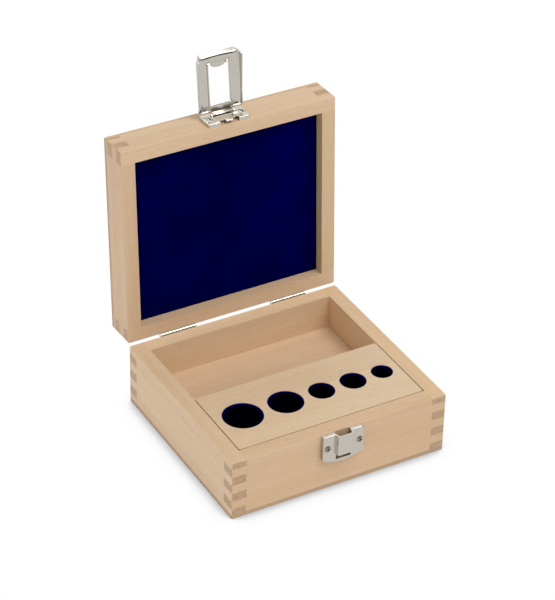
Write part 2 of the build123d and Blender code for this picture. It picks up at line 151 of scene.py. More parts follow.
@dataclass(frozen=True)
class Beech:
    """Steamed beech, planed, sanded and clear lacquered.

    The eye sees a pale pinkish tan with hardly any rings, short darker ray flecks that lie along the
    grain, faint long bands, and end grain a good shade darker and freckled with pores.
    """

    name: str
    grain: Grain = Grain.ALONG_X
    tilt_deg: float = 0.0
    offset_mm: tuple[float, float, float] = (0.0, 0.0, 0.0)
    pale: str = "#DDC0A0"
    deep: str = "#CDAA86"
    fleck: str = "#AE8861"
    end_pale: str = "#C4A483"
    end_deep: str = "#A68567"
    band_mm: float = 14.0
    band_stretch: float = 14.0      # a band is this many times as long as it is wide
    streak_mm: float = 1.6
    streak_stretch: float = 5.0     # a streak is this many bands' widths long
    streak_share: float = 0.3
    body_stops: tuple[float, float] = (0.26, 0.80)
    fleck_width_mm: float = 0.55
    fleck_length_mm: float = 4.5
    fleck_range: tuple[float, float] = (0.60, 0.74)
    fleck_strength: float = 0.36
    pore_mm: float = 0.8
    pore_stretch: float = 2.2
    pore_stops: tuple[float, float] = (0.35, 0.68)
    end_range: tuple[float, float] = (0.70, 0.85)
    noise_roughness: float = 0.55
    roughness: float = 0.44
    roughness_range: tuple[float, float] = (-0.05, 0.08)
    bump_strength: float = 0.12
    bump_mm: float = 0.05

    def build(self) -> bpy.types.Material:
        """Make the material: noises drawn out along the grain, and end grain by the face's normal.

        Returns:
            The new material.
        """
        material, tree, shader = start_material(self.name)
        where = add_node(tree, "ShaderNodeTexCoord")
        tilt = (math.radians(self.tilt_deg), 0.0, 0.0)
        turn = (0.0, 0.0, math.radians(self.grain.value))
        upright = add_node(tree, "ShaderNodeMapping", {"Rotation": tilt, "Scale": (1 / MM,) * 3},
                           {"Vector": where.outputs["Object"]})
        board = add_node(tree, "ShaderNodeMapping", {"Rotation": turn, "Location": self.offset_mm},
                         {"Vector": upright.outputs["Vector"]})
        bands = self.stretched_noise(
            tree, board, (self.band_mm * self.band_stretch, self.band_mm, self.band_mm), 3.0)
        streaks = self.stretched_noise(
            tree, board, (self.band_mm * self.streak_stretch, self.streak_mm, self.streak_mm), 2.0)
        flecks = self.stretched_noise(
            tree, board, (self.fleck_length_mm, self.fleck_width_mm, self.fleck_width_mm), 1.0)
        cloud = add_node(tree, "ShaderNodeMix", {"data_type": "FLOAT", "Factor": self.streak_share},
                         {"A": bands.outputs["Fac"], "B": streaks.outputs["Fac"]})
        body = add_node(tree, "ShaderNodeValToRGB", links={"Fac": cloud.outputs["Result"]})
        set_ramp(body, list(zip(self.body_stops, (linear(self.pale), linear(self.deep)))))
        fleck_mask = add_node(tree, "ShaderNodeMapRange",
                              {"From Min": self.fleck_range[0], "From Max": self.fleck_range[1],
                               "To Max": self.fleck_strength},
                              {"Value": flecks.outputs["Fac"]})
        long_grain = add_node(tree, "ShaderNodeMix", {"data_type": "RGBA", 7: linear(self.fleck)},
                              {0: fleck_mask.outputs["Result"], 6: body.outputs["Color"]})
        end_grain = self.end_grain(tree, board)
        end_mask = self.end_mask(tree, where, tilt, turn)
        colour = add_node(tree, "ShaderNodeMix", {"data_type": "RGBA"},
                          {0: end_mask.outputs["Result"], 6: long_grain.outputs[2],
                           7: end_grain.outputs["Color"]})
        tree.links.new(colour.outputs[2], shader.inputs["Base Color"])
        sheen = add_node(tree, "ShaderNodeMapRange",
                         {"To Min": self.roughness + self.roughness_range[0],
                          "To Max": self.roughness + self.roughness_range[1]},
                         {"Value": streaks.outputs["Fac"]})
        tree.links.new(sheen.outputs["Result"], shader.inputs["Roughness"])
        bump = add_node(tree, "ShaderNodeBump",
                        {"Strength": self.bump_strength, "Distance": self.bump_mm * MM},
                        {"Height": flecks.outputs["Fac"]})
        tree.links.new(bump.outputs["Normal"], shader.inputs["Normal"])
        return material

    def stretched_noise(self, tree: bpy.types.NodeTree, board: bpy.types.Node,
                        lengths_mm: tuple[float, float, float], detail: float) -> bpy.types.Node:
        """Add noise whose spots have those lengths along, across and through the board."""
        spread = add_node(tree, "ShaderNodeMapping", {"Scale": tuple(1 / length for length in lengths_mm)},
                          {"Vector": board.outputs["Vector"]})
        return add_node(tree, "ShaderNodeTexNoise",
                        {"Scale": 1.0, "Detail": detail, "Roughness": self.noise_roughness},
                        {"Vector": spread.outputs["Vector"]})

    def end_grain(self, tree: bpy.types.NodeTree, board: bpy.types.Node) -> bpy.types.Node:
        """Add the freckled colour of cut-across fibres.

        Args:
            tree: the material's node tree.
            board: the node that gives places on the board in millimetres, grain along X.

        Returns:
            The node whose colour is the end grain's.
        """
        pores = self.stretched_noise(
            tree, board, (self.band_mm, self.pore_mm, self.pore_mm * self.pore_stretch), 2.0)
        ramp = add_node(tree, "ShaderNodeValToRGB", links={"Fac": pores.outputs["Fac"]})
        set_ramp(ramp, list(zip(self.pore_stops, (linear(self.end_pale), linear(self.end_deep)))))
        return ramp

    def end_mask(self, tree: bpy.types.NodeTree, where: bpy.types.Node, tilt: tuple[float, float, float],
                 turn: tuple[float, float, float]) -> bpy.types.Node:
        """Add a mask that is 1 where the face looks along the grain.

        Args:
            tree: the material's node tree.
            where: its texture coordinates.
            tilt: the turn that shuts the lid.
            turn: the turn that brings the grain onto X.

        Returns:
            The node whose result is the mask.
        """
        upright = add_node(tree, "ShaderNodeMapping", {"vector_type": "NORMAL", "Rotation": tilt},
                           {"Vector": where.outputs["Normal"]})
        facing = add_node(tree, "ShaderNodeMapping", {"vector_type": "NORMAL", "Rotation": turn},
                          {"Vector": upright.outputs["Vector"]})
        split = add_node(tree, "ShaderNodeSeparateXYZ", links={"Vector": facing.outputs["Vector"]})
        size = add_node(tree, "ShaderNodeMath", {"operation": "ABSOLUTE"}, {0: split.outputs["X"]})
        return add_node(tree, "ShaderNodeMapRange",
                        {"From Min": self.end_range[0], "From Max": self.end_range[1]},
                        {"Value": size.outputs["Value"]})


@dataclass(frozen=True)
class Velvet:
    """Short-pile cotton velvet, dyed navy.

    The pile swallows light face on and glows a little at a grazing angle; brushing leaves soft
    streaks. The pile is far finer than the render shows, so it is drawn as tufts of 0.4 to 0.7 mm.
    """

    name: str
    dark: str = "#000034"
    light: str = "#00004C"
    streak_mm: float = 22.0
    streaks_per_m: float = 30.0
    tuft_mm: float = 0.7
    tuft_share: float = 0.4
    stops: tuple[float, float] = (0.35, 0.65)
    bump_strength: float = 0.5
    bump_mm: float = 0.25
    roughness: float = 0.95
    sheen: float = 0.12
    sheen_roughness: float = 0.45
    sheen_tint: str = "#0000B0"

    def build(self) -> bpy.types.Material:
        """Make the material: brushed streaks under fine tufts, with a blue sheen.

        Returns:
            The new material.
        """
        material, tree, shader = start_material(self.name)
        where = add_node(tree, "ShaderNodeTexCoord")
        spread = (1 / (self.streak_mm * MM), self.streaks_per_m, self.streaks_per_m)
        streaks = add_node(tree, "ShaderNodeMapping", {"Scale": spread}, {"Vector": where.outputs["Object"]})
        brushed = add_node(tree, "ShaderNodeTexNoise", {"Scale": 1.0, "Detail": 3.0},
                           {"Vector": streaks.outputs["Vector"]})
        tufts = add_node(tree, "ShaderNodeTexNoise", {"Scale": 1 / (self.tuft_mm * MM), "Detail": 2.0},
                         {"Vector": where.outputs["Object"]})
        both = add_node(tree, "ShaderNodeMix", {"data_type": "FLOAT", "Factor": self.tuft_share},
                        {"A": brushed.outputs["Fac"], "B": tufts.outputs["Fac"]})
        ramp = add_node(tree, "ShaderNodeValToRGB", links={"Fac": both.outputs["Result"]})
        set_ramp(ramp, list(zip(self.stops, (linear(self.dark), linear(self.light)))))
        tree.links.new(self.shaded(tree, where, ramp.outputs["Color"]), shader.inputs["Base Color"])
        bump = add_node(tree, "ShaderNodeBump",
                        {"Strength": self.bump_strength, "Distance": self.bump_mm * MM},
                        {"Height": tufts.outputs["Fac"]})
        tree.links.new(bump.outputs["Normal"], shader.inputs["Normal"])
        shader.inputs["Roughness"].default_value = self.roughness
        shader.inputs["Specular IOR Level"].default_value = 0.0
        shader.inputs["Sheen Weight"].default_value = self.sheen
        shader.inputs["Sheen Roughness"].default_value = self.sheen_roughness
        shader.inputs["Sheen Tint"].default_value = linear(self.sheen_tint)
        return material

    def shaded(self, tree: bpy.types.NodeTree, where: bpy.types.Node,
               colour: bpy.types.NodeSocket) -> bpy.types.NodeSocket:
        """The pile's colour as it meets the eye: an open sheet shows it as it is."""
        return colour


@dataclass(frozen=True)
class PocketVelvet(Velvet):
    """The same velvet pressed into a pocket.

    The rim shows the navy; below it, shade is painted into the colour, which fades to almost black down the
    pocket.
    """

    dark: str = "#00003C"
    light: str = "#000064"
    tuft_mm: float = 0.4
    # colour of the painted shade deep in the pocket
    deep: str = "#000008"
    rim_m: float = 0.042        # height of the insert's top
    # painted shade: the pile darkens from a little below the rim to the deep colour this far down
    painted_shade_mm: float = 2.0
    painted_shade_start: float = 0.25      # the fade starts this share of its depth below the rim

    def shaded(self, tree: bpy.types.NodeTree, where: bpy.types.Node,
               colour: bpy.types.NodeSocket) -> bpy.types.NodeSocket:
        """The pile's colour with painted shade: it fades into the deep one by the height below the rim.

        Args:
            tree: the material's node tree.
            where: its texture coordinates.
            colour: the colour at the rim.

        Returns:
            The colour to use.
        """
        place_in_case = add_node(tree, "ShaderNodeSeparateXYZ", links={"Vector": where.outputs["Object"]})
        depth = add_node(tree, "ShaderNodeMapRange",
                         {"From Min": self.rim_m - self.painted_shade_mm * MM,
                          "From Max": self.rim_m - self.painted_shade_mm * MM * self.painted_shade_start},
                         {"Value": place_in_case.outputs["Z"]})
        # painted shade: mix the rim's colour into the deep one by the height below the rim
        with_painted_shade = add_node(tree, "ShaderNodeMix", {"data_type": "RGBA", 6: linear(self.deep)},
                         {0: depth.outputs["Result"], 7: colour})
        return with_painted_shade.outputs[2]


@dataclass(frozen=True)
class NickelPlate:
    """Bright nickel over pressed steel.

    A warm light-grey mirror, a little hazy, with faint rolling marks and no deep scratches.
    """

    name: str
    colour: str = "#CFCAC0"
    roughness: float = 0.12
    haze: float = 0.08
    mark_mm: float = 1.5
    bump_strength: float = 0.06
    bump_mm: float = 0.1

    def build(self) -> bpy.types.Material:
        """Make the material: a metal whose gloss wanders a little from place to place.

        Returns:
            The new material.
        """
        material, tree, shader = start_material(self.name)
        where = add_node(tree, "ShaderNodeTexCoord")
        wander = add_node(tree, "ShaderNodeTexNoise", {"Scale": 1 / (self.mark_mm * MM), "Detail": 3.0},
                          {"Vector": where.outputs["Object"]})
        gloss = add_node(tree, "ShaderNodeMapRange",
                         {"To Min": self.roughness, "To Max": self.roughness + self.haze},
                         {"Value": wander.outputs["Fac"]})
        tree.links.new(gloss.outputs["Result"], shader.inputs["Roughness"])
        shader.inputs["Metallic"].default_value = 1.0
        shader.inputs["Base Color"].default_value = linear(self.colour)
        bump = add_node(tree, "ShaderNodeBump",
                        {"Strength": self.bump_strength, "Distance": self.bump_mm * MM},
                        {"Height": wander.outputs["Fac"]})
        tree.links.new(bump.outputs["Normal"], shader.inputs["Normal"])
        return material


@dataclass(frozen=True)
class Foam:
    """Open-cell polyether foam, cut with a knife: a dull grey full of pinholes."""

    name: str
    colour: str = "#5A5A60"
    hollow: str = "#2A2A2E"
    cell_mm: float = 0.9
    roughness: float = 0.9

    def build(self) -> bpy.types.Material:
        """Make the material: round dark cells over a dull grey.

        Returns:
            The new material.
        """
        material, tree, shader = start_material(self.name)
        where = add_node(tree, "ShaderNodeTexCoord")
        cells = add_node(tree, "ShaderNodeTexVoronoi", {"Scale": 1 / (self.cell_mm * MM)},
                         {"Vector": where.outputs["Object"]})
        ramp = add_node(tree, "ShaderNodeValToRGB", links={"Fac": cells.outputs["Distance"]})
        set_ramp(ramp, [(0.0, linear(self.hollow)), (0.5, linear(self.colour))])
        tree.links.new(ramp.outputs["Color"], shader.inputs["Base Color"])
        shader.inputs["Roughness"].default_value = self.roughness
        return material


# ---------------------------------------------------------------- mesh helpers


def mesh_object(name: str, points: Array, quads: Array, sharp_deg: float = 40.0) -> bpy.types.Object:
    """Make an object from whole arrays of points and quads, smooth except over sharp edges.

    Args:
        name: the object's name.
        points: an array of N by 3, in metres in the row frame.
        quads: an array of M by 4 point numbers.
        sharp_deg: edges that fold by more than this stay crisp.

    Returns:
        The new object, at the origin.
    """
    mesh = bpy.data.meshes.new(name)
    mesh.vertices.add(len(points))
    mesh.vertices.foreach_set("co", points.astype(np.float32).ravel())
    mesh.loops.add(quads.size)
    mesh.loops.foreach_set("vertex_index", quads.astype(np.int32).ravel())
    mesh.polygons.add(len(quads))
    mesh.polygons.foreach_set("loop_start", np.arange(0, quads.size, 4, dtype=np.int32))
    mesh.polygons.foreach_set("use_smooth", np.ones(len(quads), dtype=bool))
    mesh.update(calc_edges=True)
    mesh.validate()
    mesh.set_sharp_from_angle(angle=math.radians(sharp_deg))
    piece = bpy.data.objects.new(name, mesh)
    bpy.context.scene.collection.objects.link(piece)
    return piece


def grid_quads(rows: int, columns: int, wrap_rows: bool = False, wrap_columns: bool = False) -> Array:
    """Quads of a grid of points numbered row by row.

    Args:
        rows: points along the first parameter.
        columns: points along the second parameter.
        wrap_rows: join the last row to the first.
        wrap_columns: join the last column to the first.

    Returns:
        An array of quads, each running along a row first.
    """
    i = np.arange(rows if wrap_rows else rows - 1)[:, None]
    j = np.arange(columns if wrap_columns else columns - 1)[None, :]
    i_next, j_next = (i + 1) % rows, (j + 1) % columns
    corners = [i * columns + j, i * columns + j_next, i_next * columns + j_next, i_next * columns + j]
    return np.stack([np.broadcast_to(c, (i.shape[0], j.shape[1])) for c in corners], axis=-1).reshape(-1, 4)


def facing_out(points: Array, quads: Array) -> Array:
    """Quads of a closed shell, turned round if they faced inwards.

    The sign of the shell's volume tells: it is the sum over the faces of the product of three corners.

    Args:
        points: an array of N by 3.
        quads: an array of M by 4 point numbers, all turning the same way.

    Returns:
        The quads, facing outwards.
    """
    a, b, c, d = (points[quads[:, i]] for i in range(4))
    volume = np.einsum("ij,ij->", a, np.cross(b, c)) + np.einsum("ij,ij->", a, np.cross(c, d))
    return quads if volume > 0 else quads[:, ::-1]


def joined(shells: list[tuple[Array, Array]]) -> tuple[Array, Array]:
    """Put several closed shells into one pair of points and quads, each facing outwards.

    Args:
        shells: pairs of points and quads.

    Returns:
        All points and all quads.
    """
    starts = np.cumsum([0] + [len(points) for points, _ in shells[:-1]])
    quads = [facing_out(points, quads) + start for (points, quads), start in zip(shells, starts)]
    return np.concatenate([points for points, _ in shells]), np.concatenate(quads)


def thickened(middle: Array, half: float, edge_steps: int = 4) -> tuple[Array, Array]:
    """Turn the middle surface of a sheet into a closed shell with rounded edges.

    The surface's rows close on themselves. Each point moves along the surface's normal by half the
    sheet's thickness, once each way, and a half circle joins the two sides at both ends of a row's section.

    Args:
        middle: an array of rows by columns by 3, whose rows wrap round.
        half: half the thickness.
        edge_steps: pieces of each rounded edge.

    Returns:
        Points and quads.
    """
    along = np.roll(middle, -1, axis=0) - np.roll(middle, 1, axis=0)
    across = np.gradient(middle, axis=1)
    normal = np.cross(along, across)
    normal /= np.linalg.norm(normal, axis=-1, keepdims=True)
    outward = across / np.linalg.norm(across, axis=-1, keepdims=True)
    turn = np.linspace(0.0, math.pi, edge_steps + 1)[1:-1][None, :, None]

    def edge(column: int, sign: float) -> Array:
        """A half circle at a section's end, from the side at +sign of the normal to the other."""
        swing = sign * np.cos(turn) * normal[:, column, None] + sign * np.sin(turn) * outward[:, column, None]
        return middle[:, column, None] + half * swing

    loop = [middle + half * normal, edge(-1, 1.0), (middle - half * normal)[:, ::-1], edge(0, -1.0)]
    grid = np.concatenate(loop, axis=1)
    return grid.reshape(-1, 3), grid_quads(*grid.shape[:2], wrap_rows=True, wrap_columns=True)


def smooth_step(values: Array, low: float, high: float) -> Array:
    """0 below low, 1 above high, and a soft S between them."""
    t = np.clip((values - low) / (high - low), 0.0, 1.0)
    return t * t * (3 - 2 * t)


def turned_about_x(points: Array, centre: Vector, degrees: float) -> Array:
    """Turn points about the line through centre that runs along X.

    Args:
        points: an array whose last axis is x, y, z.
        centre: a point on the line.
        degrees: the right-handed turn about +X.

    Returns:
        The turned points.
    """
    angle = math.radians(degrees)
    y, z = points[..., 1] - centre.y, points[..., 2] - centre.z
    turned = points.copy()
    turned[..., 1] = centre.y + y * math.cos(angle) - z * math.sin(angle)
    turned[..., 2] = centre.z + y * math.sin(angle) + z * math.cos(angle)
    return turned


def dress(node: str, material: bpy.types.Material) -> None:
    """Give a CAD node that stays in view its material.

    Args:
        node: the node's name.
        material: its material.
    """
    piece = frame["nodes"][node]
    piece.data.materials.clear()
    piece.data.materials.append(material)
    LOG.info("dressed %s in %s", node, material.name)


def place(piece: bpy.types.Object, body: str, node: str, material: bpy.types.Material) -> None:
    """Finish a new piece: material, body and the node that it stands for.

    Args:
        piece: the new piece.
        body: the CAD body that carries it.
        node: the CAD node that it stands for.
        material: its material.
    """
    piece.data.materials.append(material)
    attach(piece, body)
    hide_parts(node)
    LOG.info("made %s for %s on %s", piece.name, node, body)


# ---------------------------------------------------------------- the open lid


@dataclass(frozen=True)
class LidPose:
    """Where the lid stands at rest, read from the frame's joints.

    New pieces of the lid are worked out with the lid shut and then turned open.
    """

    hinge: Vector
    open_deg: float
    pin: Vector
    loop_deg: float

    @staticmethod
    def from_frame() -> "LidPose":
        """Read both joints: each is at its shut end when it is turned through its whole range.

        Returns:
            The lid's and the loop's place at rest.
        """
        joints = {joint["name"]: joint for joint in frame["joints"]}
        lid, loop = joints["lid_hinge"], joints["loop_swing"]
        return LidPose(Vector(lid["pos_m"]), float(lid["range_deg"][1]),
                       Vector(loop["pos_m"]), float(loop["range_deg"][1]))

    def opened(self, shut: Array) -> Array:
        """Turn points from the shut lid to the open one."""
        return turned_about_x(shut, self.hinge, -self.open_deg)

    def shut(self, opened: Array) -> Array:
        """Turn points from the open lid to the shut one."""
        return turned_about_x(opened, self.hinge, self.open_deg)

    def raised_loop(self, across: Array, reach: Array, out: Array) -> Array:
        """Turn places on the loop to where it stands at rest.

        Args:
            across: distance along X from the loop's middle.
            reach: distance from the pin towards the lip.
            out: distance from the pin away from the wood when the loop hangs shut.

        Returns:
            Points in metres in the row frame, for distances in millimetres.
        """
        hanging = np.stack(np.broadcast_arrays(across, -out, -reach), axis=-1) * MM + np.array(self.pin)
        return turned_about_x(hanging, self.pin, -(self.open_deg + self.loop_deg))

    def shut_box(self, node: str) -> tuple[Array, Array]:
        """The box of a lid node with the lid shut.

        Args:
            node: a CAD node that rides on the lid.

        Returns:
            Its lowest and highest corner.
        """
        mesh = frame["nodes"][node].data
        points = np.empty(len(mesh.vertices) * 3, np.float32)
        mesh.vertices.foreach_get("co", points)
        shut = self.shut(points.reshape(-1, 3).astype(float))
        return shut.min(axis=0), shut.max(axis=0)


# ---------------------------------------------------------------- sub-assemblies


@dataclass(frozen=True)
class Board:
    """One board: the way its grain runs and its colours, which are partly the beech's own tone and partly
    painted light and shade.
    """

    grain: Grain
    pale: str
    deep: str


@dataclass
class BoxWork:
    """The beech base and lid: walls, panels, floor board and insert block."""

    pose: LidPose
    # each board's colours are partly its own tone and partly painted light and shade: some boards are drawn
    # paler or darker for the light that falls on them, as the base's rear wall, drawn paler; the bottom panel
    # is drawn darker than the rest
    board_tones_and_painted_light: tuple[tuple[str, Board], ...] = (
        ("base_front_wall", Board(Grain.ALONG_X, "#DABB98", "#CAA67F")),
        ("base_rear_wall", Board(Grain.ALONG_X, "#E8CDAB", "#D7B68F")),
        ("base_left_wall", Board(Grain.ALONG_Y, "#DFC4A3", "#CFAD89")),
        ("base_right_wall", Board(Grain.ALONG_Y, "#E1C29B", "#D1AC82")),
        ("insert_block", Board(Grain.ALONG_X, "#E1C8A8", "#D0B18D")),
        ("compartment_floor", Board(Grain.ALONG_X, "#DDC0A0", "#CDAA86")),
        ("base_bottom_panel", Board(Grain.ALONG_X, "#BDA284", "#AE8E6D")),
        ("lid_front_wall", Board(Grain.ALONG_X, "#DFC4A3", "#CFAD89")),
        ("lid_rear_wall", Board(Grain.ALONG_X, "#DDC0A0", "#CDAA86")),
        ("lid_left_wall", Board(Grain.ALONG_Y, "#D7B998", "#C8A47F")),
        ("lid_right_wall", Board(Grain.ALONG_Y, "#D6BC94", "#C7A77C")),
        ("lid_top_panel", Board(Grain.ALONG_X, "#D8BA99", "#C8A580")))
    apart_mm: tuple[float, float, float] = (37.0, 11.0, 23.0)

    def dress(self) -> None:
        """Give each board its own cut of beech, a place in the grain apart from the others', and its own
        colours, which carry some painted light and shade.
        """
        for number, (node, board) in enumerate(self.board_tones_and_painted_light):
            tilt = self.pose.open_deg if node.startswith("lid") else 0.0
            offset = tuple(step * number for step in self.apart_mm)
            dress(node, Beech(f"beech_{node}", board.grain, tilt, offset, board.pale, board.deep).build())


@dataclass
class LidLining:
    """The velvet stretched over foam in the lid: a crowned sheet with tucked-in edges."""

    pose: LidPose
    crown_mm: float = 0.9
    crown_power: int = 6
    tuck_mm: float = 2.2
    tuck_share: float = 0.4
    tuck_start: float = 0.975       # the tuck begins this far out from the middle
    ripple_mm: float = 0.08
    ripple_waves: tuple[float, float] = (41.0, 37.0)
    ripple_power: int = 12
    depth_share: float = 0.5        # how much of the drop shows
    steps: tuple[int, int] = (150, 136)

    def build(self, velvet: bpy.types.Material, foam: bpy.types.Material) -> None:
        """Make the lining and dress the foam behind it.

        Args:
            velvet: the lining's material.
            foam: the pad's material.
        """
        low, high = self.pose.shut_box("lid_velvet")
        across = np.linspace(-1.0, 1.0, self.steps[0])
        along = np.linspace(-1.0, 1.0, self.steps[1])
        u, v = np.meshgrid(self.crowd_edges(across), self.crowd_edges(along), indexing="ij")
        x = (low[0] + high[0]) / 2 + u * (high[0] - low[0]) / 2
        y = (low[1] + high[1]) / 2 + v * (high[1] - low[1]) / 2
        face = self.face(u, v, low[2])
        back = np.full_like(face, high[2])
        sheets = np.stack([np.stack([x, y, z], axis=-1) for z in (face, back)])
        points = self.pose.opened(sheets.reshape(-1, 3))
        piece = mesh_object("lid_velvet_lining", points, self.shell_quads(), 60.0)
        place(piece, "lid", "lid_velvet", velvet)
        dress("lid_foam_pad", foam)

    @staticmethod
    def crowd_edges(t: Array) -> Array:
        """Crowd samples from -1 to 1 towards both ends: the sine of a quarter turn of each."""
        return np.sin(t * math.pi / 2)

    def face(self, u: Array, v: Array, level: float) -> Array:
        """Height of the velvet's face with the lid shut.

        It drops back from the CAD face by the crown times one minus the bulge, which is the product of
        one minus a power of each coordinate, by a share of the tuck in the last few hundredths beside
        each wall, and by a faint ripple there. Part of that drop shows, and it never rises past the face.

        Args:
            u: from -1 to 1 across the recess.
            v: from -1 to 1 along the recess.
            level: the CAD face's height.

        Returns:
            The height at each grid point.
        """
        bulge = (1 - np.abs(u) ** self.crown_power) * (1 - np.abs(v) ** self.crown_power)
        edge = np.maximum(np.abs(u), np.abs(v))
        tuck = smooth_step(edge, self.tuck_start, 1.0) ** 2
        ripple = (np.sin(u * self.ripple_waves[0]) * np.abs(v) ** self.ripple_power
                  + np.sin(v * self.ripple_waves[1]) * np.abs(u) ** self.ripple_power)
        drop = self.crown_mm * (1 - bulge) + self.tuck_mm * tuck * self.tuck_share + self.ripple_mm * ripple
        return level + np.clip(drop, 0.0, None) * MM * self.depth_share

    def shell_quads(self) -> Array:
        """Join the face, the back and the four edges into one closed shell.

        Returns:
            Their quads, all facing outwards.
        """
        rows, columns = self.steps
        face = grid_quads(rows, columns)
        back = face[:, ::-1] + rows * columns
        numbers = np.arange(rows * columns).reshape(rows, columns)
        ring = np.concatenate([numbers[:-1, 0], numbers[-1, :-1], numbers[:0:-1, -1], numbers[0, :0:-1]])
        following = np.roll(ring, -1)
        edge = np.stack([ring, following, following + rows * columns, ring + rows * columns], axis=-1)
        return np.concatenate([face, back, edge])[:, ::-1]


@dataclass
class PocketLinings:
    """The navy cups pressed into the insert block's pockets."""

    nap_mm: float = 0.7
    waver_mm: float = 0.12
    waver_depth_mm: float = 2.0
    waver_waves: tuple[int, int] = (5, 3)
    waver_share: float = 0.9        # only points this far out from the axis waver
    foot_naps: tuple[float, float] = (0.3, 1.4)     # the wall's foot: how far in and up, in naps
    turns: int = 96
    rim_steps: int = 9

    def build(self, velvet: bpy.types.Material) -> None:
        """Make one cup for each lining node, with a rolled rim.

        Args:
            velvet: the cups' material.
        """
        for node in sorted(name for name in frame["nodes"] if name.startswith("pocket_lining")):
            low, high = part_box(node)
            piece = mesh_object(f"{node}_cup", *self.cup(np.array(low), np.array(high)), 60.0)
            place(piece, "base", node, velvet)

    def cup(self, low: Array, high: Array) -> tuple[Array, Array]:
        """A cup as a closed profile turned about the pocket's axis.

        The profile runs up the outside, over a rim that is half a circle, down the inside, and across
        the floor to the axis. The radius wavers a little round the rim, as glued cloth does.

        Args:
            low: the lining's lowest corner.
            high: its highest corner.

        Returns:
            Points and quads.
        """
        centre = (low + high) / 2
        outer = (high[0] - low[0]) / 2
        nap = self.nap_mm * MM
        inner = outer - nap
        rim = np.linspace(0.0, math.pi, self.rim_steps)
        middle, half = (outer + inner) / 2, nap / 2
        top = high[2] - half
        waist = (low[2] + top) / 2
        foot_in, foot_up = self.foot_naps
        radius = np.concatenate([[0.0, outer / 2, outer, outer], middle + half * np.cos(rim),
                                 [inner, inner, inner - foot_in * nap, inner / 2, 0.0]])
        height = np.concatenate([[low[2]] * 3, [waist], top + half * np.sin(rim),
                                 [waist, low[2] + foot_up * nap], [low[2] + nap] * 3])
        angle = np.linspace(0.0, 2 * math.pi, self.turns, endpoint=False)[:, None]
        near_rim = smooth_step(height, top - self.waver_depth_mm * MM, top)[None, :]
        fast, slow = self.waver_waves
        waver = self.waver_mm * MM * np.sin(fast * angle) * np.sin(slow * angle + 1.0) * near_rim
        inside = (radius < middle)[None, :]
        r = radius[None, :] + np.where(inside & (radius[None, :] > inner * self.waver_share), waver, 0.0)
        x = centre[0] + r * np.cos(angle)
        y = centre[1] + r * np.sin(angle)
        z = np.broadcast_to(height[None, :], x.shape)
        points = np.stack([x, y, z], axis=-1).reshape(-1, 3)
        return points, grid_quads(self.turns, len(radius), wrap_rows=True)[:, ::-1]


